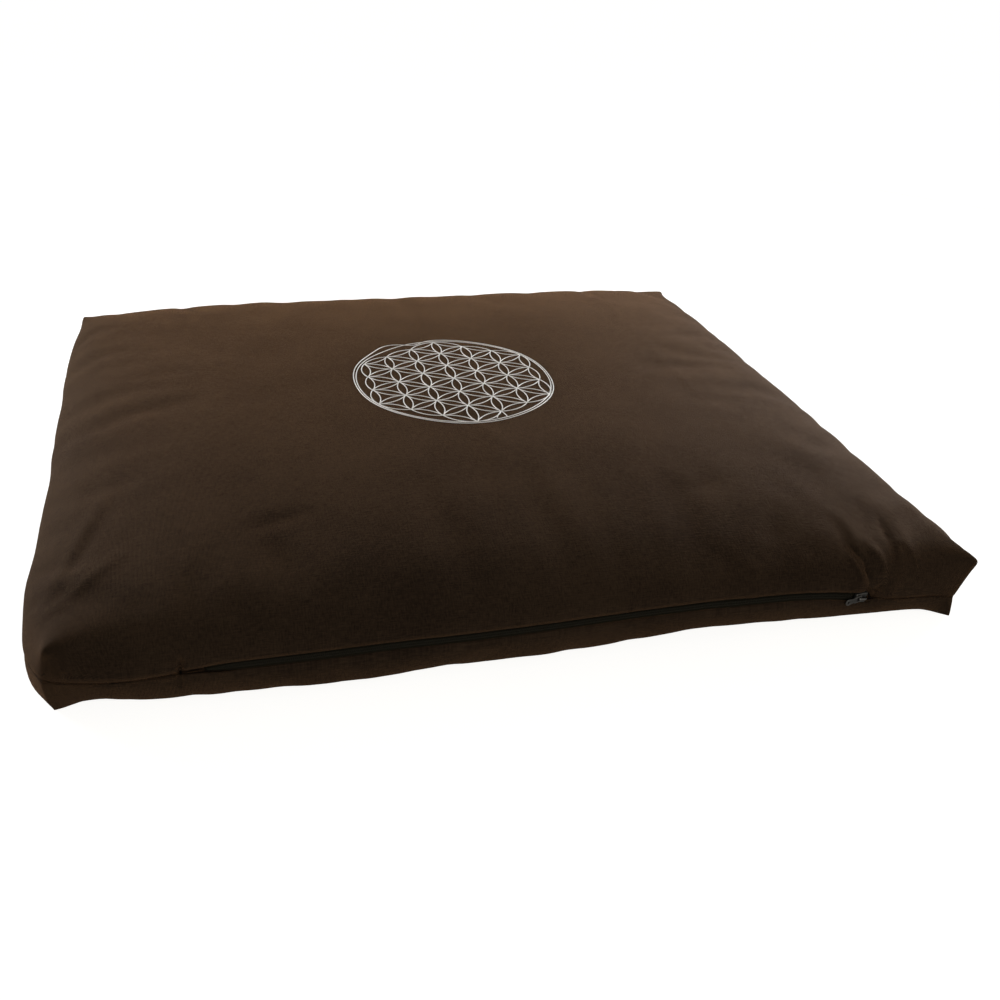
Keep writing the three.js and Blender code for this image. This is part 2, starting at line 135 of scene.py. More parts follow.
# %% [markdown]
# ## The floor
# The photograph is a cut-out on white, so the floor is a pale sheet lit from below, wide enough to fill the
# picture. The cut-out's cloth shows no light thrown back by it, so the floor throws none.

# %% Lay the floor
FLOOR_HALF_WIDTH = 9.0
floor_form = bmesh.new()
bmesh.ops.create_grid(floor_form, x_segments=1, y_segments=1, size=FLOOR_HALF_WIDTH)


def new_object(name, form):
    """A mesh object at the origin, made from a bmesh."""
    mesh = bpy.data.meshes.new(name)
    form.to_mesh(mesh)
    form.free()
    made = bpy.data.objects.new(name, mesh)
    bpy.context.scene.collection.objects.link(made)
    return made


floor = new_object("studio_floor", floor_form)
paper, _ = new_material(
    "backlit_white_acrylic_sheet", Base_Color=linear("#a09f9d"), Roughness=0.9, Specular_IOR_Level=0.0,
    Emission_Color=linear("#fbfaf8"), Emission_Strength=0.97,
)
floor.data.materials.append(paper)
floor.visible_diffuse = floor.visible_glossy = False
print("floor in m:", [round(side, 1) for side in floor.dimensions[:2]])

# %% [markdown]
# ## Soft boxes
# Three soft boxes stand low at the cushion's sides and towards its back. Their light grazes the top, which
# shows the cloth's soft folds and its nap along the edges, and leaves the front in shade, which a weak box
# in front fills a little. Their strengths were fitted to the tones of the cloth.

# %% Hang the lights
PANELS = [
    {"name": "left_panel", "at": (-1.3, 0.7, 0.2), "aim": (-0.4, 0.1, 0.06), "size": 0.6, "watts": 26.5},
    {"name": "right_panel", "at": (1.3, 0.4, 0.35), "aim": (0.4, -0.1, 0.06), "size": 0.6, "watts": 12.0},
    {"name": "right_rear_panel", "at": (1.3, 0.9, 0.25), "aim": (0.4, 0.1, 0.06), "size": 0.6, "watts": 15.0},
    {"name": "front_fill", "at": (0.2, -1.9, 0.35), "aim": (0.0, -0.35, 0.04), "size": 1.0, "watts": 5.0},
]


def add_panel(name, at, aim, size, watts):
    """A square soft box that lights the scene but isn't seen."""
    data = bpy.data.lights.new(name, "AREA")
    data.size, data.energy = size, watts
    light = bpy.data.objects.new(name, data)
    bpy.context.scene.collection.objects.link(light)
    turn = (Vector(aim) - Vector(at)).to_track_quat("-Z", "Y").to_matrix()
    light.matrix_world = Matrix.Translation(at) @ turn.to_4x4()
    light.visible_camera = False


for panel in PANELS:
    add_panel(**panel)

# %% [markdown]
# ## The room
# The walls and ceiling light the cloth evenly from all round, and less from below the horizon, so that what
# faces down is darker but never black. The standard view transform keeps the colours as they are given.

# %% Light the room
SKY_STRENGTH = 0.26
HORIZON_SOFTNESS, SHARE_BELOW = 0.1, 0.6
world = bpy.data.worlds.new("white_room_dimmer_below")
world.use_nodes = True
sky = world.node_tree.nodes["Background"]
sky.inputs["Strength"].default_value = SKY_STRENGTH
outlook = add_node(world, "ShaderNodeSeparateXYZ", {
    "Vector": add_node(world, "ShaderNodeTexCoord").outputs["Generated"]})
horizon = add_node(world, "ShaderNodeMapRange", {
    "Value": outlook.outputs["Z"], "From Min": -HORIZON_SOFTNESS, "From Max": HORIZON_SOFTNESS,
    "To Min": SHARE_BELOW, "To Max": 1.0,
})
link(world, horizon.outputs["Result"], sky.inputs["Color"])
bpy.context.scene.world = world
bpy.context.scene.view_settings.view_transform = "Standard"
print("room light:", SKY_STRENGTH, "above the horizon and", round(SKY_STRENGTH * SHARE_BELOW, 2), "below")

# %% [markdown]
# ## The cushion's skin
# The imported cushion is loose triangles. Merged and joined back into four-sided faces it is the cage of a
# subdivision surface, which keeps every fold and the seam's groove and rounds what lies between. Cloth
# stays sharp only where it is sewn or boxed: along the seam's groove, at the upright corner seams and at
# the foot's edge on the floor. Those edges are given a crease. Each corner has its own, since the front
# right one is pulled taut and the others are plump. The points in the groove are marked, so that the seam
# can be drawn there later.

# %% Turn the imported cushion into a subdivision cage
CORNER_REACH = 45 * MM  # how near the box's corners an upright seam lies
SHARP_TURN = math.radians(38)
CORNERS = [
    {"x": -1, "y": -1, "upper": 0.35, "lower": 0.85, "tip": 0.0, "foot": 0.9},
    {"x": 1, "y": -1, "upper": 0.9, "lower": 0.85, "tip": 0.95, "foot": 0.9},
    {"x": 1, "y": 1, "upper": 0.2, "lower": 0.6, "tip": 0.0, "foot": 0.5},
    {"x": -1, "y": 1, "upper": 0.2, "lower": 0.6, "tip": 0.0, "foot": 0.5},
]
FOOT_BELOW, FOOT_TURN, FOOT_SHARPNESS = 1.5 * MM, math.radians(25), 0.6
VALLEY_TURN, VALLEY_SHARPNESS = -math.radians(35), 0.8
SEAM_ABOVE, SEAM_BELOW = 5 * MM, 44 * MM
SAME_POINT = 0.01 * MM
JOINED_TURN, JOINED_SKEW = math.radians(60), math.radians(180)


def copied_form(node):
    """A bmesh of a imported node, with its loose triangles merged."""
    form = bmesh.new()
    form.from_mesh(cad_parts[node].data)
    for layer in list(form.loops.layers.uv.values()):
        form.loops.layers.uv.remove(layer)
    bmesh.ops.remove_doubles(form, verts=form.verts, dist=SAME_POINT)
    return form


def upright_edges(form, corner):
    """The sharp edges of one corner's upright seam, and the seam's ends."""
    low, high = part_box("cushion")
    box_corner = Vector((high.x if corner["x"] > 0 else low.x, high.y if corner["y"] > 0 else low.y))
    found = []
    for edge in form.edges:
        run = edge.verts[0].co - edge.verts[1].co
        middle = (edge.verts[0].co + edge.verts[1].co) / 2
        near = (middle.xy - box_corner).length < CORNER_REACH
        if near and abs(run.z) > run.xy.length and edge.calc_face_angle(0) > SHARP_TURN:
            found.append(edge)
    ends = sorted((vert for edge in found for vert in edge.verts), key=lambda vert: vert.co.z)
    return found, ends[0], ends[-1]


def cushion_cage():
    """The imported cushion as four-sided faces, with creases where the cloth is boxed."""
    form = copied_form("cushion")
    bmesh.ops.join_triangles(form, faces=form.faces, angle_face_threshold=JOINED_TURN,
                             angle_shape_threshold=JOINED_SKEW)
    crease = form.edges.layers.float.new("crease_edge")
    point = form.verts.layers.float.new("crease_vert")
    seam = form.verts.layers.float.new("seam")
    for corner in CORNERS:
        seam_edges, foot, tip = upright_edges(form, corner)
        middle = (foot.co.z + tip.co.z) / 2
        for edge in seam_edges:
            above = edge.verts[0].co.z + edge.verts[1].co.z > 2 * middle
            edge[crease] = corner["upper" if above else "lower"]
        foot[point], tip[point] = corner["foot"], corner["tip"]
    for edge in form.edges:
        if max(vert.co.z for vert in edge.verts) < FOOT_BELOW and edge.calc_face_angle(0) > FOOT_TURN:
            edge[crease] = FOOT_SHARPNESS
        if edge.calc_face_angle_signed(0) < VALLEY_TURN:
            edge[crease] = VALLEY_SHARPNESS
            for vert in edge.verts:
                vert[seam] = SEAM_ABOVE < vert.co.z < SEAM_BELOW
    return new_object("zabuton_cover", form)


cover = cushion_cage()
print("cage faces:", len(cover.data.polygons))

# %% [markdown]
# ## Where the seam runs
# The seam's groove is the only sharp valley on the cushion, so its points are those at the ends of edges
# that fold inwards. The distance to that line tells later steps where the cloth is held.

# %% Find the seam
def seam_points(obj):
    """The places of the vertices along the groove that runs round the sides."""
    form = bmesh.new()
    form.from_mesh(obj.data)
    edges = [edge for edge in form.edges if edge.calc_face_angle_signed(0) < VALLEY_TURN]
    found = {vert.index: vert.co.copy() for edge in edges for vert in edge.verts}
    form.free()
    return [place for place in found.values() if place.z > SEAM_ABOVE]


def distances_to(points, places):
    """How far each place is from the nearest of the points."""
    tree = KDTree(len(points))
    for i, point in enumerate(points):
        tree.insert(point, i)
    tree.balance()
    return np.array([tree.find(place)[2] for place in places])


SEAM = seam_points(cover)
print("points on the seam:", len(SEAM))

# %% [markdown]
# ## Rounding the cage
# One level of subdivision rounds the cage into cells of about a centimetre, which is fine enough for cloth
# to fold in. The result is written back into the mesh, so that the next steps work on real points.

# %% Subdivide the cage once
def apply_modifiers(obj):
    """Writes the shape that the modifiers make into the mesh, and takes the modifiers off."""
    graph = bpy.context.evaluated_depsgraph_get()
    shaped = obj.evaluated_get(graph)
    obj.data = bpy.data.meshes.new_from_object(shaped, preserve_all_data_layers=True, depsgraph=graph)
    obj.modifiers.clear()


def subdivide(obj):
    rounding = obj.modifiers.new("rounding", "SUBSURF")
    rounding.levels = rounding.render_levels = 1
    apply_modifiers(obj)


def points_of(mesh):
    rows = np.empty(len(mesh.vertices) * 3, np.float32)
    mesh.vertices.foreach_get("co", rows)
    return rows.reshape(-1, 3).astype(float)


def normals_of(mesh):
    rows = np.empty(len(mesh.vertices) * 3, np.float32)
    mesh.vertex_normals.foreach_get("vector", rows)
    return rows.reshape(-1, 3).astype(float)


def set_points(mesh, rows):
    mesh.vertices.foreach_set("co", rows.astype(np.float32).ravel())
    mesh.update()


subdivide(cover)
print("faces after one level:", len(cover.data.polygons))

# %% [markdown]
# ## The way the cloth lies
# The weave has to follow the panels. Seen from above, the top panel's threads run square to the sides, and
# over the edge they turn down with the cloth. A map that adds the height lost to the outward part of the
# normal unrolls both panels well enough for a fine weave. It is made before the folds, from evened normals,
# and moves with the cloth from then on.

# %% Map the cloth
EVEN_ROUNDS = 10


def smoothed(mesh, rows, rounds):
    """The rows averaged with their neighbours over and over."""
    edges = np.array([edge.vertices[:] for edge in mesh.edges])
    counts = np.bincount(edges.ravel(), minlength=len(rows))[:, None]
    ends, others = edges.T.ravel(), edges[:, ::-1].T.ravel()
    for _ in range(rounds):
        sums = [np.bincount(ends, rows[others, axis], len(rows)) for axis in range(3)]
        rows = (rows + np.stack(sums, axis=1) / counts) / 2
    return rows


def seam_heights(points):
    """The height of the seam nearest to each point, as seen from above."""
    tree = KDTree(len(SEAM))
    for i, place in enumerate(SEAM):
        tree.insert((place.x, place.y, 0), i)
    tree.balance()
    return np.array([SEAM[tree.find((x, y, 0))[1]].z for x, y, _ in points])


def map_cloth(obj):
    """Adds a UV map in metres whose directions are the threads of the top and bottom panels."""
    mesh = obj.data
    points = points_of(mesh)
    normals = smoothed(mesh, normals_of(mesh), EVEN_ROUNDS)
    top = points[:, 2] > seam_heights(points)
    drop = np.where(top, CAD_HIGH.z - points[:, 2], points[:, 2])[:, None]
    flat = points[:, :2] + normals[:, :2] * drop
    corners = np.empty(len(mesh.loops), np.int32)
    mesh.loops.foreach_get("vertex_index", corners)
    cloth_map = mesh.uv_layers.new(name="cloth")
    cloth_map.data.foreach_set("uv", flat[corners].astype(np.float32).ravel())


map_cloth(cover)
print("maps of the cover:", [layer.name for layer in cover.data.uv_layers])

# %% [markdown]
# ## Letting the cloth settle
# The filling presses the cover outwards, and the seams hold it back, so cloth that is a little too long for
# its seam gathers there. A short simulation finds these soft puckers: the cover grows by a small share, air
# pressure fills it, and the seam and the bottom are pinned. Only the fine part of the movement is kept,
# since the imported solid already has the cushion's true outline.

# %% Simulate the cloth
HELD_WITHIN, FREE_BEYOND = 9 * MM, 34 * MM
BOTTOM_BELOW = 1 * MM
CLOTH_GROWS = 0.015
FILLING_PRESSURE = 4
LAST_FRAME = 20
BROAD_ROUNDS = 40
BROAD_KEPT = 0.1
FINE_KEPT = 0.6
MOST_MOVED = 2.5 * MM


def settle_cloth(obj):
    """Moves the cover's points as pressed cloth would lie, and returns how far each one went."""
    rest = points_of(obj.data)
    held = np.clip((FREE_BEYOND - distances_to(SEAM, rest)) / (FREE_BEYOND - HELD_WITHIN), 0, 1)
    held[rest[:, 2] < BOTTOM_BELOW] = 1
    group = obj.vertex_groups.new(name="held")
    for i, weight in enumerate(held):
        group.add([i], float(weight), "REPLACE")
    cloth = obj.modifiers.new("cloth", "CLOTH")
    settings = cloth.settings
    settings.vertex_group_mass = group.name
    settings.shrink_min = -CLOTH_GROWS
    settings.use_pressure = True
    settings.uniform_pressure_force = FILLING_PRESSURE
    settings.effector_weights.gravity = 0
    cloth.collision_settings.use_collision = False
    cloth.point_cache.frame_end = LAST_FRAME
    for number in range(1, LAST_FRAME + 1):
        bpy.context.scene.frame_set(number)
    apply_modifiers(obj)
    bpy.context.scene.frame_set(1)
    obj.vertex_groups.clear()
    moved = points_of(obj.data) - rest
    fine = FINE_KEPT * (moved - (1 - BROAD_KEPT) * smoothed(obj.data, moved, BROAD_ROUNDS))
    length = np.linalg.norm(fine, axis=1, keepdims=True)
    fine *= MOST_MOVED / np.maximum(length, MOST_MOVED) * (1 - held[:, None])
    set_points(obj.data, rest + fine)
    return length


print("the cloth moved by", round(settle_cloth(cover).mean() / MM, 2), "mm on average")
subdivide(cover)
print("faces of the cover:", len(cover.data.polygons))

# %% [markdown]
# ## Room for narrow folds
# A fold can only be as narrow as the cloth's cells. Round the slider and at the zip's pointed end the
# photograph shows folds a few millimetres wide, so the faces there are cut finer before anything is pressed
# in.

# %% Cut the cloth finer in two places
FINER_PLACES = [
    {"of": "folds right of the zip", "at": (306, -335, 52), "reach": 38},
    {"of": "pointed end of the zip", "at": (-262, -344, 41), "reach": 30},
]


def refine(mesh, rows):
    """Cuts the faces round each row's place into nine, so that narrow folds have points to bend at."""
    form = bmesh.new()
    form.from_mesh(mesh)
    places = [(Vector(row["at"]) * MM, row["reach"] * MM) for row in rows]
    near = {edge for edge in form.edges for at, reach in places if (edge.verts[0].co - at).length < reach}
    bmesh.ops.subdivide_edges(form, edges=list(near), cuts=2, use_grid_fill=True, smooth=1.0)
    form.to_mesh(mesh)
    form.free()


refine(cover.data, FINER_PLACES)
print("faces after the finer cuts:", len(cover.data.polygons))

# %% [markdown]
# ## Plump corners
# The filling rounds the corners, so the cloth is evened out round five places. Then six places are pulled a
# few millimetres, to where the photograph's outline has them. Only the front right ear is left sharp, as
# its cloth is taut.

# %% Even out and pull the corners
PLUMP_CORNERS = [
    {"of": "front left ear", "at": (-378, -334, 76), "reach": 32, "rounds": 24},
    {"of": "front above the left corner", "at": (-330, -330, 72), "reach": 46, "rounds": 36},
    {"of": "back left ear", "at": (-386, 343, 68), "reach": 36, "rounds": 14},
    {"of": "back right ear", "at": (398, 343, 64), "reach": 36, "rounds": 14},
    {"of": "front above the right corner", "at": (344, -332, 64), "reach": 36, "rounds": 30},
]
GRABS = [
    {"of": "taut front right ear", "at": (399, -345, 58), "by": (2.5, -1, 2.5), "reach": (12, 12, 12)},
    {"of": "right edge by the ear", "at": (389, -314, 63), "by": (2.8, 0, 3.4), "reach": (24, 28, 24)},
    {"of": "front of the foot", "at": (90, -341, 0), "by": (0, -4, 0), "reach": (230, 16, 24)},
    {"of": "plump left wall", "at": (-388, -318, 8), "by": (-3, 0, 0), "reach": (30, 30, 14)},
    {"of": "left bulge", "at": (-391, -318, 60), "by": (3.5, 0, 0), "reach": (30, 40, 18)},
    {"of": "front left foot", "at": (-380, -322, 2), "by": (5, -1, 0), "reach": (20, 20, 20)},
]


def relax(mesh, rows):
    """Evens out the cloth round each row's place, so that a corner is plump."""
    for row in rows:
        points = points_of(mesh)
        away = np.linalg.norm(points - np.array(row["at"]) * MM, axis=1) / (row["reach"] * MM)
        share = np.exp(-away ** 4)[:, None]
        set_points(mesh, points + share * (smoothed(mesh, points, row["rounds"]) - points))


def grab(mesh, rows):
    """Pulls the cloth round each row's place, most at the place itself."""
    points = points_of(mesh)
    for row in rows:
        away = (points - np.array(row["at"]) * MM) / (np.array(row["reach"]) * MM)
        points += np.exp(-(away ** 2).sum(1))[:, None] * np.array(row["by"]) * MM
    points[:, 2] = np.maximum(points[:, 2], 0)
    set_points(mesh, points)


relax(cover.data, PLUMP_CORNERS)
grab(cover.data, GRABS)
print("places evened:", len(PLUMP_CORNERS), "and pulled:", len(GRABS))

# %% [markdown]
# ## Listed creases
# The folds that show in the photograph are listed and pressed in one by one. Each is a straight trough, or a
# ridge where its depth is negative, with soft edges and ends. The points move along their normals, and a fold
# reaches only the cloth it lies in, since the distance is measured along the cloth.

# %% Press a fold into the cloth
CREASES = [  # what it is, from, to, half width and depth, in mm
    ("pointed end of the zip", (-280, -344, 40), (-240, -343.5, 41), 1.8, 2.6),
    ("fold beside the slider", (281, -327, 78), (300, -346, 30), 2.4, 4.2),
    ("its lit ridge", (274, -331, 74), (289, -346, 42), 3, -1.4),
    ("fullness right of it", (299, -326, 76), (311, -344, 42), 7, -3.6),
    ("second fold", (329, -292, 79), (319, -341, 60), 4.5, 1.6),
    ("ridge by the corner", (342, -300, 76), (336, -338, 60), 6, -1.0),
    ("dark trough left", (-226, -238, 93), (-165, -224, 97), 9, 1.4),
    ("dimple under it", (-207, -246, 92), (-186, -300, 87), 11, 1.8),
    ("bright swell", (-190, -318, 82), (-178, -332, 76), 9, -1.2),
    ("long streak left", (-376, -285, 73), (-332, -138, 88), 7, -1.3),
    ("trough beside it", (-368, -268, 76), (-338, -185, 86), 7, 1.4),
    ("short streak left", (-372, -292, 71), (-322, -246, 85), 6, -1.1),
    ("tuck at the zip's end", (-281, -347, 57), (-283, -343, 26), 2.2, 4),
    ("drape over the zip", (160, -316, 83), (166, -346, 58), 9, 1.8),
    ("its ridge", (178, -324, 79), (186, -344, 58), 7, -1.2),
    ("slanting fold right", (204, -316, 83), (236, -298, 85), 9, 1.4),
    ("slanting fold above", (150, -250, 95), (205, -232, 96), 12, 1.0),
    ("pucker by the embroidery", (10, -110, 105), (20, -152, 104), 9, -0.9),
    ("lower panel, left", (-182, -346, 28), (-150, -338, 8), 9, 1.5),
    ("lower panel, middle", (-30, -344, 24), (-62, -336, 6), 9, 1.5),
]
REACH_THROUGH = 30 * MM
END_SHARE, FLATNESS = 0.04, 0.6


def press_creases(mesh, rows):
    """Moves the mesh's points inwards along each row's line, most at its middle."""
    points, normals = points_of(mesh), normals_of(mesh)
    pressed = np.zeros(len(points))
    for _, start, end, half_width, depth in rows:
        start, line = np.array(start) * MM, np.array(end) * MM - np.array(start) * MM
        along = np.clip((points - start) @ line / (line @ line), 0, 1)
        away = points - start - along[:, None] * line
        through = (away * normals).sum(1)
        beside = np.linalg.norm(away - through[:, None] * normals, axis=1) / (half_width * MM)
        soft_ends = np.sin(np.pi * np.clip(along, END_SHARE, 1 - END_SHARE)) ** FLATNESS
        pressed += depth * MM * np.exp(-beside ** 2) * soft_ends * (np.abs(through) < REACH_THROUGH)
    set_points(mesh, points - pressed[:, None] * normals)
    return pressed


print("creases by hand:", len(CREASES))

# %% [markdown]
# ## Gathers along the zip
# Where the cover is sewn to the zip's tape the cloth is a little longer than the tape, and it gathers. The
# gathers are short and uneven, so a seeded random draw sets their places, lengths and depths. They are
# pressed in together with the creases.

# %% Press the creases and gathers in
GATHERS = {
    "from": -244, "to": 276, "count": 34, "length": (14, 46), "half_width": (3, 6), "depth": (0.2, 0.8),
    "above_seam": 5, "lean": 0.35, "back": 0.15,
}
FRONT_SIDE = -300 * MM


def zip_gathers(chance):
    """Short uneven gathers that rise from the zip's upper edge."""
    rows = []
    line = sorted((p.x, p.y, p.z) for p in SEAM if p.y < FRONT_SIDE)
    xs, ys, zs = np.array(line).T / MM
    for i in range(GATHERS["count"]):
        x = GATHERS["from"] + (i + chance.random()) * (GATHERS["to"] - GATHERS["from"]) / GATHERS["count"]
        y, z = np.interp(x, xs, ys), np.interp(x, xs, zs) + GATHERS["above_seam"]
        length = chance.uniform(*GATHERS["length"])
        lean = chance.uniform(-GATHERS["lean"], GATHERS["lean"]) * length
        depth = chance.uniform(*GATHERS["depth"]) * chance.choice((1, 1, -1))
        half_width = chance.uniform(*GATHERS["half_width"])
        top = (x + lean, y + GATHERS["back"] * length, z + length)
        rows.append(("gather", (x, y, z), top, half_width, depth))
    return rows


pressed = press_creases(cover.data, CREASES + zip_gathers(random.Random(7)))
print("gathers:", GATHERS["count"], "deepest fold in mm:", round(pressed.max() / MM, 1))

# %% [markdown]
# ## The cotton
# The cover is a dense plain-woven cotton, dyed dark brown and slightly brushed. It is matt, and its fibres
# catch light at a grazing angle, which the shader calls sheen. Uneven yarns make short light and dark
# streaks both ways, and the brushed nap clouds the colour over a few centimetres.

# %% Dye the cotton
SLUB = {"width": 1.2 * MM, "length": 9 * MM}
CLOUD_SIZE = 90 * MM
NAP_SHARE = 0.8
PALEST_FROM, DARKEST_FROM = 1.68, 1.12

cotton, cotton_shader = new_material(
    "dyed_brushed_cotton", Base_Color=linear("#35281e"), Roughness=0.95, Specular_IOR_Level=0.06,
    Sheen_Weight=0.9, Sheen_Roughness=0.32, Sheen_Tint=linear("#8b6747"),
)


def yarns(material, uv, across, along):
    """Streaks of uneven yarn: noise that is short across the thread and long along it."""
    stretched = add_node(material, "ShaderNodeMapping", {"Vector": uv, "Scale": (1 / across, 1 / along, 1)})
    return add_node(material, "ShaderNodeTexNoise", {
        "Vector": stretched.outputs["Vector"], "Scale": 1.0, "Detail": 2.0,
    })


uv = add_node(cotton, "ShaderNodeUVMap", uv_map="cloth").outputs["UV"]
warp = yarns(cotton, uv, SLUB["width"], SLUB["length"])
weft = yarns(cotton, uv, SLUB["length"], SLUB["width"])
yarn = add_node(cotton, "ShaderNodeMath", {0: warp.outputs["Fac"], 1: weft.outputs["Fac"]}, operation="ADD")
place = add_node(cotton, "ShaderNodeTexCoord").outputs["Object"]
nap = add_node(cotton, "ShaderNodeTexNoise", {
    "Vector": place, "Scale": 1 / CLOUD_SIZE, "Detail": 3.0, "Roughness": 0.6,
})
tone = add_node(cotton, "ShaderNodeMath", {
    0: nap.outputs["Fac"], 1: NAP_SHARE, 2: yarn.outputs["Value"],
}, operation="MULTIPLY_ADD")
tone_share = add_node(cotton, "ShaderNodeMapRange", {
    "Value": tone.outputs["Value"], "From Min": DARKEST_FROM, "From Max": PALEST_FROM,
})
shades = add_node(cotton, "ShaderNodeValToRGB", {"Fac": tone_share.outputs["Result"]})
shades.color_ramp.elements[0].color = linear("#2b2017")
shades.color_ramp.elements[1].color = linear("#413224")
print("nodes of the dye:", len(cotton.node_tree.nodes))

# %% [markdown]
# ## The weave
# Real threads are a third of a millimetre apart, which is finer than a pixel, so the weave is drawn at
# three times that pitch. It is two sets of waves that cross, one for the warp and one for the weft, and it
# roughens the surface together with the uneven yarns.

# %% Weave the cotton
THREAD_PITCH = 1.0 * MM


def bands_every(pitch):
    """The scale at which a wave texture has one band in each pitch."""
    return math.pi / 10 / pitch


weave = {}
for direction in ("X", "Y"):
    wave = add_node(cotton, "ShaderNodeTexWave", {"Vector": uv, "Scale": bands_every(THREAD_PITCH)},
                    wave_type="BANDS", bands_direction=direction, wave_profile="SIN")
    weave[direction] = wave.outputs["Fac"]
grain = add_node(cotton, "ShaderNodeMath", {0: weave["X"], 1: weave["Y"]}, operation="MULTIPLY")
surface = add_node(cotton, "ShaderNodeMath", {
    0: grain.outputs["Value"], 1: yarn.outputs["Value"],
}, operation="ADD")
bump = add_node(cotton, "ShaderNodeBump", {
    "Height": surface.outputs["Value"], "Strength": 0.9, "Distance": 0.35 * MM,
})
link(cotton, bump.outputs["Normal"], cotton_shader.inputs["Normal"])
print("thread pitch as drawn, in mm:", round(THREAD_PITCH / MM, 1))

# %% [markdown]
# ## The seam's painted shade
# Where the two panels are sewn together no light gets between them, so the groove whose points were marked
# is nearly black. The mark fades towards the points beside the groove, and only its last tenth is dark,
# which keeps the line thin. Then the cover takes its place in the part.

# %% Draw the seam and finish the cover
# Painted shade: the seam's groove is painted nearly black, where no light gets between the two panels.
GROOVE_FROM = 0.9
MIX_A, MIX_B, MIX_RESULT = 6, 7, 2  # the Mix node's colour sockets
seam_at = add_node(cotton, "ShaderNodeAttribute", attribute_name="seam").outputs["Fac"]
painted_seam_shade_share = add_node(cotton, "ShaderNodeMapRange", {"Value": seam_at, "From Min": GROOVE_FROM, "From Max": 1.0})
dye_and_painted_seam_shade = add_node(cotton, "ShaderNodeMix", {
    0: painted_seam_shade_share.outputs["Result"], MIX_A: shades.outputs["Color"], MIX_B: linear("#120c08"),
}, data_type="RGBA")
link(cotton, dye_and_painted_seam_shade.outputs[MIX_RESULT], cotton_shader.inputs["Base Color"])


def finish_piece(obj, material, replaces=()):
    """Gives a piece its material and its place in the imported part."""
    obj.data.materials.clear()
    obj.data.materials.append(material)
    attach(obj, "root")
    if replaces:
        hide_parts(*replaces)


cover.data.shade_smooth()
finish_piece(cover, cotton, ["cushion"])
print("the cover's material:", cover.data.materials[0].name)

# %% [markdown]
# ## The embroidery's layout
# The pattern is the old one of overlapping circles: 37 centres lie in a hexagon, a radius apart, and each
# pair of neighbours is joined by two arcs of a sixth of a circle, which make a petal. Stitching pulls the
# cloth, so the crossings are a little uneven. Two rings, also uneven, run round the whole.

# %% Find the crossings
CIRCLE = 33.5 * MM
RINGS_OF_CIRCLES = 3
PATTERN_AT = Vector((9, -1.4, 0)) * MM
PATTERN_TURN = math.radians(-0.6)
UNEVEN = 0.7 * MM


def crossings(chance):
    """The pattern's crossings, by column and half step along the column."""
    found = {}
    for column in range(-RINGS_OF_CIRCLES, RINGS_OF_CIRCLES + 1):
        reach = 2 * RINGS_OF_CIRCLES - abs(column)
        for half_step in range(-reach, reach + 1, 2):
            pulled = Vector((chance.gauss(0, UNEVEN), chance.gauss(0, UNEVEN), 0))
            found[column, half_step] = Vector((column * math.sqrt(3), half_step, 0)) * CIRCLE / 2 + pulled
    return found


CROSSINGS = crossings(random.Random(3))
NEIGHBOURS = [(0, 2), (1, 1), (1, -1)]
petals = [(at, CROSSINGS[key[0] + step[0], key[1] + step[1]]) for key, at in CROSSINGS.items()
          for step in NEIGHBOURS if (key[0] + step[0], key[1] + step[1]) in CROSSINGS]
print("crossings:", len(CROSSINGS), "petals:", len(petals))

# %% [markdown]
# ## One stitched line
# Each line is a thin cord of satin stitch, a little wider than high. A small oval is spun round the arc's
# own centre, and both ends are closed. Its faces are made to look outwards, which a positive volume proves.
# An attribute keeps how far along and around the line a point is, so that the stitches can slant across it
# later.

# %% Spin a line of satin stitch
LINE_WIDTH, LINE_HEIGHT = 1.15 * MM, 1.1 * MM
OVAL_SIDES = 8
FULL_TURN = 2 * math.pi


def oval(form, centre, outward):
    """A ring of edges round a stitched line, at a point whose outward direction is given."""
    verts = []
    for i in range(OVAL_SIDES):
        angle = FULL_TURN * i / OVAL_SIDES
        side, up = math.cos(angle) * LINE_WIDTH / 2, math.sin(angle) * LINE_HEIGHT / 2
        verts.append(form.verts.new(centre + outward * side + Vector((0, 0, up))))
    edges = [form.edges.new((verts[i - 1], verts[i])) for i in range(OVAL_SIDES)]
    return verts + edges


def spun_line(radius, angle, steps):
    """A mesh of a line spun from +X round the origin, with where each point lies along and around it."""
    form = bmesh.new()
    thread = form.verts.layers.float_vector.new("thread")
    bmesh.ops.spin(form, geom=oval(form, Vector((radius, 0, 0)), Vector((1, 0, 0))), cent=(0, 0, 0),
                   axis=(0, 0, 1), dvec=(0, 0, 0), angle=angle, steps=steps,
                   use_merge=angle == FULL_TURN, use_duplicate=False)
    bmesh.ops.holes_fill(form, edges=[edge for edge in form.edges if edge.is_boundary], sides=OVAL_SIDES)
    bmesh.ops.recalc_face_normals(form, faces=form.faces)
    if form.calc_volume(signed=True) < 0:
        bmesh.ops.reverse_faces(form, faces=form.faces)
    for vert in form.verts:
        turn = math.atan2(vert.co.y, vert.co.x)
        around = math.atan2(vert.co.z, vert.co.xy.length - radius)
        vert[thread] = (turn * radius, around * LINE_WIDTH / 2, 0)
    mesh = bpy.data.meshes.new("line")
    form.to_mesh(mesh)
    form.free()
    return mesh


print("stitched line in mm:", round(LINE_WIDTH / MM, 2), "wide and", round(LINE_HEIGHT / MM, 2), "high")

# %% [markdown]
# ## Petals, tails and rings
# A petal is two arcs of 60 degrees, and every arc is a copy of one, turned and stretched a little to fit
# between its two crossings. Two short tails run on from a crossing to the ring. The rings lean and swell
# where the stitching pulled the cloth. At the end all lines are lowered onto the finished cover.

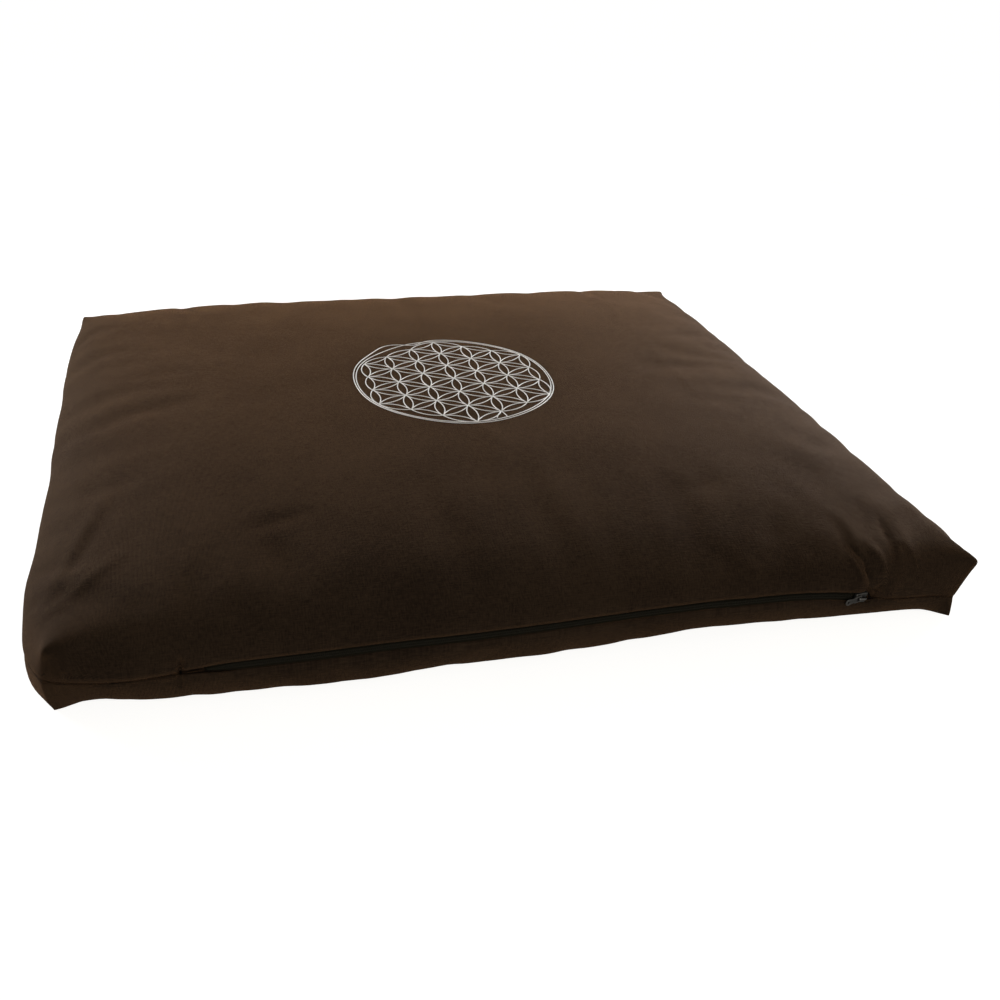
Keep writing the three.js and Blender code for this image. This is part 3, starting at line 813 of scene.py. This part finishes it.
# %% Stitch the embroidery
SIXTH = math.pi / 3
ARC_STEPS, TAIL_STEPS, RING_STEPS = 9, 4, 160
TAILS = [
    {"from": (1, -5), "angle": math.radians(26), "turn": math.radians(136)},
    {"from": (1, -5), "angle": math.radians(-23), "turn": math.radians(24)},
]
THREAD_RINGS = [  # leans: how often round the ring, by what share of a circle, facing where
    {"radius": 3.10, "leans": [(1, 0.03, 110), (2, 0.05, 115), (6, 0.02, 90)],
     "bumps": [(120, 11, 0.17), (104, 8, -0.27)]},
    {"radius": 3.02, "leans": [(1, 0.02, 110), (2, 0.03, 115), (6, 0.015, 90)], "bumps": [(128, 14, -0.05)]},
]


def added(form, mesh):
    """The vertices that come in with one more copy of a mesh."""
    before = len(form.verts)
    form.from_mesh(mesh)
    return form.verts[before:]


def stitch_petals(form):
    """Two arcs for each petal, each a copy of one arc that is laid between its two crossings."""
    arc = spun_line(CIRCLE, SIXTH, ARC_STEPS)
    first, last = Vector((CIRCLE, 0, 0)), Matrix.Rotation(SIXTH, 3, "Z") @ Vector((CIRCLE, 0, 0))
    for petal in petals:
        for start, end in (petal, petal[::-1]):
            turn = (last - first).xy.angle_signed((end - start).xy)
            size = (end - start).length / (last - first).length
            lay = Matrix.Translation(start) @ Matrix.Rotation(-turn, 4, "Z") @ Matrix.Scale(size, 4)
            bmesh.ops.transform(form, matrix=lay @ Matrix.Translation(-first), verts=added(form, arc))


def stitch_tails(form):
    """The short arcs that run on from a crossing to the ring."""
    for tail in TAILS:
        start = CROSSINGS[tail["from"]]
        for vert in added(form, spun_line(CIRCLE, tail["angle"], TAIL_STEPS)):
            vert.co = start + Matrix.Rotation(tail["turn"], 3, "Z") @ (vert.co - Vector((CIRCLE, 0, 0)))


def stitch_rings(form):
    """The uneven rings round the pattern."""
    for ring in THREAD_RINGS:
        for vert in added(form, spun_line(ring["radius"] * CIRCLE, FULL_TURN, RING_STEPS)):
            angle = math.atan2(vert.co.y, vert.co.x)
            lean = sum(size * math.cos(count * (angle - math.radians(at)))
                       for count, size, at in ring["leans"])
            lean += sum(size * math.exp(-((math.degrees(angle) - at) / width) ** 2)
                        for at, width, size in ring["bumps"])
            vert.co += vert.co.xy.to_3d().normalized() * lean * CIRCLE


def embroidery():
    """All the stitched lines in one mesh, half sunk in the cover they lie on."""
    form = bmesh.new()
    stitch_petals(form)
    stitch_tails(form)
    stitch_rings(form)
    bmesh.ops.rotate(form, verts=form.verts, cent=(0, 0, 0), matrix=Matrix.Rotation(PATTERN_TURN, 3, "Z"))
    bmesh.ops.translate(form, verts=form.verts, vec=PATTERN_AT)
    tree = BVHTree.FromObject(cover, bpy.context.evaluated_depsgraph_get())
    for vert in form.verts:
        above = Vector((vert.co.x, vert.co.y, 1))
        vert.co.z += tree.ray_cast(above, Vector((0, 0, -1)))[0].z
    return new_object("embroidery_thread", form)


stitching = embroidery()
stitching.data.shade_smooth()
print("faces of the embroidery:", len(stitching.data.polygons))

# %% [markdown]
# ## Silvery thread
# Machine embroidery uses a twisted rayon or polyester thread, which is smooth and shines in a soft line.
# Its stitches lie side by side across the line at a slant. They are 0.4 mm apart, drawn at twice that to
# show.

# %% Make the thread
STITCH_PITCH = 0.8 * MM
STITCH_SLANT = math.radians(25)
satin, satin_shader = new_material(
    "trilobal_polyester_satin_stitch", Base_Color=linear("#f2f0eb"), Roughness=0.35, Specular_IOR_Level=0.8,
    Sheen_Weight=1.0, Sheen_Roughness=0.5,
)
thread_at = add_node(satin, "ShaderNodeAttribute", attribute_name="thread").outputs["Vector"]
slanted = add_node(satin, "ShaderNodeMapping", {"Vector": thread_at, "Rotation": (0, 0, STITCH_SLANT)})
stitches = add_node(satin, "ShaderNodeTexWave", {
    "Vector": slanted.outputs["Vector"], "Scale": bands_every(STITCH_PITCH), "Distortion": 1.0,
    "Detail Scale": 0.5,
}, wave_type="BANDS", bands_direction="X")
fills = add_node(satin, "ShaderNodeValToRGB", {"Fac": stitches.outputs["Fac"]})
fills.color_ramp.elements[0].color = linear("#f4eadd")
fills.color_ramp.elements[1].color = linear("#fffaf3")
fills.color_ramp.elements[1].position = 0.45
link(satin, fills.outputs["Color"], satin_shader.inputs["Base Color"])
raised = add_node(satin, "ShaderNodeBump", {
    "Height": stitches.outputs["Fac"], "Strength": 0.6, "Distance": 0.1 * MM,
})
link(satin, raised.outputs["Normal"], satin_shader.inputs["Normal"])
finish_piece(stitching, satin)
print("stitch pitch as drawn, in mm:", round(STITCH_PITCH / MM, 1))

# %% [markdown]
# ## The line of the zip
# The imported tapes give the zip's course: for each station along it, how far back the tapes lie and where
# the two meet. At the left end the zip runs on for two centimetres under the cloth, which leaves a
# narrowing wedge of it to see. Tapes and coils are modelled straight, along X, with Y as how far they stand
# forward of the tape's back and Z as how far they are above the middle, and then they are laid along that
# course.

# %% Read the zip's course
ZIP_TUCKED = {"x": -264, "z": 40.2, "opens": 24 * MM, "share": 0.3}


def zip_course():
    """Stations along the zip, the place of the tapes' backs and the height of the line between them."""
    rows = {}
    for node, side in (("zip_tape_upper", 1), ("zip_tape_lower", -1)):
        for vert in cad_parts[node].data.vertices:
            row = rows.setdefault(round(vert.co.x / MM, 2), {"back": [], 1: [], -1: []})
            row["back"].append(vert.co.y)
            row[side].append(vert.co.z)
    xs = sorted(rows)
    back = [max(rows[x]["back"]) for x in xs]
    middle = [(min(rows[x][1]) + max(rows[x][-1])) / 2 for x in xs]
    stations = np.array([ZIP_TUCKED["x"], *xs]) * MM
    return stations, np.array([back[0], *back]), np.array([ZIP_TUCKED["z"] * MM, *middle])


ZIP_X, ZIP_BACK, ZIP_MIDDLE = zip_course()
ZIP_LENGTH = ZIP_X[-1] - ZIP_X[0]


def lay_on_zip(form):
    """Lays a straight form along the zip's course."""
    for vert in form.verts:
        x, forward, up = vert.co
        up *= np.interp(x, (0, ZIP_TUCKED["opens"]), (ZIP_TUCKED["share"], 1))
        x += ZIP_X[0]
        vert.co = (x, np.interp(x, ZIP_X, ZIP_BACK) - forward, np.interp(x, ZIP_X, ZIP_MIDDLE) + up)


print("zip length in mm:", round(ZIP_LENGTH / MM))

# %% [markdown]
# ## Tapes
# The tapes are narrow woven ribbons with two fine cords in them, which show as ridges beside the coil. Each
# is a grid that is given its thickness and whose rows over the cords are raised.

# %% Weave the tapes
TAPE = {"inner": 0.15 * MM, "outer": 5.0 * MM, "thickness": 0.8 * MM, "cords": (2.75 * MM, 3.65 * MM)}
CORD_RISE, CORD_HALF_WIDTH = 0.35 * MM, 0.3 * MM
TAPE_COLUMNS, TAPE_ROWS = 90, 16


def zip_tape(side):
    """One tape, above the middle line or below it."""
    form = bmesh.new()
    bmesh.ops.create_grid(form, x_segments=TAPE_COLUMNS, y_segments=TAPE_ROWS, size=0.5)
    width = TAPE["outer"] - TAPE["inner"]
    for vert in form.verts:
        up = TAPE["inner"] + (vert.co.y + 0.5) * width
        ridge = sum(math.exp(-((up - cord) / CORD_HALF_WIDTH) ** 2) for cord in TAPE["cords"])
        vert.co = ((vert.co.x + 0.5) * ZIP_LENGTH, TAPE["thickness"] + ridge * CORD_RISE, side * up)
    bmesh.ops.recalc_face_normals(form, faces=form.faces)
    if form.faces[:][0].normal.y < 0:
        bmesh.ops.reverse_faces(form, faces=form.faces)
    bmesh.ops.solidify(form, geom=form.faces, thickness=TAPE["thickness"])
    lay_on_zip(form)
    bmesh.ops.recalc_face_normals(form, faces=form.faces)
    return form


TAPES = [("zip_tape_top_side", "zip_tape_upper", 1), ("zip_tape_bottom_side", "zip_tape_lower", -1)]
tapes = []
for name, node, side in TAPES:
    tape = new_object(name, zip_tape(side))
    tape.data.shade_smooth()
    tapes.append((tape, node))
    print(tape.name, "faces:", len(tape.data.polygons))

# %% [markdown]
# ## Ribbon
# Zip tape is a ribbon of black polyester, woven so densely that only its slanting ribs show, just under a
# millimetre apart. It is matt, and its ribs are painted a little browner, a painted highlight where they
# catch light.

# %% Make the ribbon
RIB_PITCH = 0.9 * MM
ribbon, ribbon_shader = new_material(
    "woven_polyester_zip_tape", Base_Color=linear("#211e15"), Roughness=0.9, Specular_IOR_Level=0.04,
)
ribs_at = add_node(ribbon, "ShaderNodeTexCoord").outputs["Object"]
ribs = add_node(ribbon, "ShaderNodeTexWave", {
    "Vector": ribs_at, "Scale": bands_every(RIB_PITCH), "Distortion": 0.6,
}, wave_type="BANDS", bands_direction="DIAGONAL")
# Painted highlight: the ribs' crests are painted a paler brown, as if they caught the light.
ribs_and_painted_highlight = add_node(ribbon, "ShaderNodeValToRGB", {"Fac": ribs.outputs["Fac"]})
ribs_and_painted_highlight.color_ramp.elements[0].color = linear("#1b1911")
ribs_and_painted_highlight.color_ramp.elements[1].color = linear("#2a251b")
link(ribbon, ribs_and_painted_highlight.outputs["Color"], ribbon_shader.inputs["Base Color"])
rib_bump = add_node(ribbon, "ShaderNodeBump", {
    "Height": ribs.outputs["Fac"], "Strength": 0.5, "Distance": 0.1 * MM,
})
link(ribbon, rib_bump.outputs["Normal"], ribbon_shader.inputs["Normal"])
for tape, node in tapes:
    finish_piece(tape, ribbon, [node])
    print(tape.name, "stands for", node)

# %% [markdown]
# ## Coils
# A coil zip closes with two spirals of stiff nylon wire, one sewn to each tape, whose turns lock between
# each other. A small ring of edges is spun round the coil's axis while it moves along, which makes a
# spring, and the spring is flattened. The lower coil is half a turn behind the upper one, so the turns
# mesh. Laying a coil along the zip turns it inside out, since forward is the negative of Y, so its normals
# are recalculated after that.

# %% Wind the coils
COIL = {"pitch": 1.5 * MM, "width": 2.7 * MM, "height": 1.4 * MM, "wire": 0.3 * MM, "overlap": 0.25 * MM}
WIRE_SIDES = 5
STEPS_PER_TURN = 10


def coil_turn():
    """One turn of a round spring along X, about the origin."""
    form = bmesh.new()
    radius = COIL["height"] / 2 - COIL["wire"]
    ring = Matrix.Translation((0, 0, radius)) @ Matrix.Rotation(math.pi / 2, 4, "X")
    bmesh.ops.create_circle(form, cap_ends=False, segments=WIRE_SIDES, radius=COIL["wire"], matrix=ring)
    bmesh.ops.spin(form, geom=form.verts[:] + form.edges[:], cent=(0, 0, 0), axis=(1, 0, 0),
                   dvec=(COIL["pitch"] / STEPS_PER_TURN, 0, 0), angle=FULL_TURN, steps=STEPS_PER_TURN,
                   use_merge=False, use_duplicate=False)
    return form


def flatten(form, side):
    """Flattens the spring and moves it to its place above or below the middle of the zip."""
    radius = COIL["height"] / 2 - COIL["wire"]
    wider = (COIL["width"] / 2 - COIL["wire"]) / radius
    start = COIL["pitch"] * (1 if side > 0 else 1.5)
    stand = TAPE["thickness"] + COIL["height"] / 2
    middle = side * (COIL["width"] / 2 - COIL["overlap"])
    for vert in form.verts:
        x, y, z = vert.co
        spread = math.hypot(y, z)
        up = z / spread * (radius * wider + spread - radius)
        vert.co = (start + x, stand + y, middle + up)


def zip_coil(name, side):
    """One flattened spring along the whole zip: one turn, repeated and joined."""
    coil = new_object(name, coil_turn())
    turns = coil.modifiers.new("turns", "ARRAY")
    turns.count = int(ZIP_LENGTH / COIL["pitch"]) - 2
    turns.use_relative_offset = False
    turns.use_constant_offset = True
    turns.constant_offset_displace = (COIL["pitch"], 0, 0)
    turns.use_merge_vertices = True
    turns.merge_threshold = SAME_POINT
    apply_modifiers(coil)
    form = bmesh.new()
    form.from_mesh(coil.data)
    bmesh.ops.holes_fill(form, edges=[edge for edge in form.edges if edge.is_boundary], sides=WIRE_SIDES)
    flatten(form, side)
    lay_on_zip(form)
    bmesh.ops.recalc_face_normals(form, faces=form.faces)
    form.to_mesh(coil.data)
    form.free()
    coil.data.shade_smooth()
    finish_piece(coil, nylon)
    return coil


# Drawn nylon wire is smooth and a little waxy, so it has a soft highlight and hardly any grain.
nylon, _ = new_material(
    "drawn_nylon_monofilament", Base_Color=linear("#332f24"), Roughness=0.5, Specular_IOR_Level=0.15,
)
for side, name in ((1, "zip_coil_top_side"), (-1, "zip_coil_bottom_side")):
    coil = zip_coil(name, side)
    print(coil.name, "faces:", len(coil.data.polygons))

# %% [markdown]
# ## Slider and pull
# Both are small die-castings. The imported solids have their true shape, so copies of them are cleaned of the
# cuts between flat triangles, and their edges are rounded the way a casting's are.

# %% Round the castings
FLAT_WITHIN = math.radians(2)
ROUNDED_FROM = math.radians(28)


def casting(node, radius, segments=2):
    """A copy of a packed metal piece with rounded edges."""
    form = copied_form(node)
    bmesh.ops.dissolve_limit(form, angle_limit=FLAT_WITHIN, verts=form.verts, edges=form.edges)
    sharp = [edge for edge in form.edges if edge.calc_face_angle(0) > ROUNDED_FROM]
    bmesh.ops.bevel(form, geom=sharp, offset=radius, offset_type="OFFSET", affect="EDGES", segments=segments,
                    profile=0.5, material=-1, clamp_overlap=True)
    return form


CASTINGS = [("zip_slider_body", "zip_slider", 0.3 * MM), ("zip_pull_tab", "zip_pull", 0.22 * MM)]
castings = []
for name, node, radius in CASTINGS:
    metal = new_object(name, casting(node, radius))
    metal.data.shade_smooth()
    castings.append((metal, node))
    print(metal.name, "faces:", len(metal.data.polygons))

# %% [markdown]
# ## Worn plating
# Zip hardware is zinc with a dark gunmetal plating. The plating wears off along the edges first, where the
# paler metal shows through in scuffs, and handling leaves the rest unevenly polished.

# %% Plate the castings
PLATING_GRAIN = 0.5 * MM
plating, plating_shader = new_material(
    "worn_gunmetal_plated_zinc", Base_Color=linear("#524e49"), Metallic=0.9, Roughness=0.36,
)
metal_at = add_node(plating, "ShaderNodeTexCoord").outputs["Object"]
scuffs = add_node(plating, "ShaderNodeTexNoise", {
    "Vector": metal_at, "Scale": 1 / PLATING_GRAIN, "Detail": 4.0,
})
worn = add_node(plating, "ShaderNodeNewGeometry").outputs["Pointiness"]
edges = add_node(plating, "ShaderNodeMapRange", {"Value": worn, "From Min": 0.5, "From Max": 0.6})
wear = add_node(plating, "ShaderNodeMath", {
    0: edges.outputs["Result"], 1: scuffs.outputs["Fac"],
}, operation="MULTIPLY")
metal_tones = add_node(plating, "ShaderNodeValToRGB", {"Fac": wear.outputs["Value"]})
metal_tones.color_ramp.elements[0].color = linear("#474440")
metal_tones.color_ramp.elements[1].color = linear("#b4afa6")
metal_tones.color_ramp.elements[1].position = 0.6
link(plating, metal_tones.outputs["Color"], plating_shader.inputs["Base Color"])
metal_rough = add_node(plating, "ShaderNodeMapRange", {
    "Value": scuffs.outputs["Fac"], "From Min": 0.3, "From Max": 0.7, "To Min": 0.28, "To Max": 0.5})
link(plating, metal_rough.outputs["Result"], plating_shader.inputs["Roughness"])
for metal, node in castings:
    finish_piece(metal, plating, [node])
    print(metal.name, "stands for", node)
